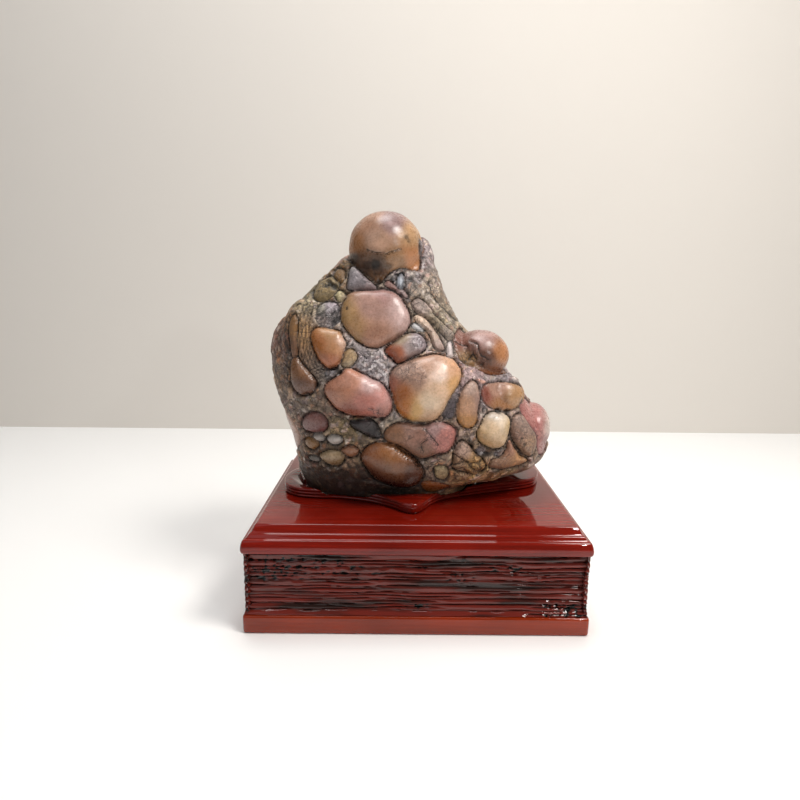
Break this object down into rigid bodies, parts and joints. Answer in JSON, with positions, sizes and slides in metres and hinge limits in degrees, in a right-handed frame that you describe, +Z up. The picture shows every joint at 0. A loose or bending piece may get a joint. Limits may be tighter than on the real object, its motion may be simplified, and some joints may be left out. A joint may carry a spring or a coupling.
{
  "type": "viewing stone on a carved wooden stand",
  "caption": "Natural conglomerate stone of rounded cobbles in a rough matrix, resting loose in the carved seat of a lacquered wooden stand; a display piece that stands on any flat surface.",
  "frame": {"origin": "centre of the stand's underside, on the surface it stands on", "axes": "+Z up through the stone; -Y is the front that the stone is meant to be looked at from; +X to the viewer's right"},
  "size_m": [0.16, 0.128, 0.1943],
  "materials": {
    "conglomerate": "water-worn cobbles with a soft sheen in a rough crystalline matrix",
    "lacquered_wood": "high-gloss clear lacquer over dark red rosewood",
    "dark_carved_wood": "lacquered carved ridges with nearly black grooves"
  },
  "bodies": {
    "root": {"stone": "conglomerate", "seat": "lacquered_wood", "top_board": "lacquered_wood", "rippled_body": "dark_carved_wood", "plinth_board": "lacquered_wood"}
  },
  "joints": []
}
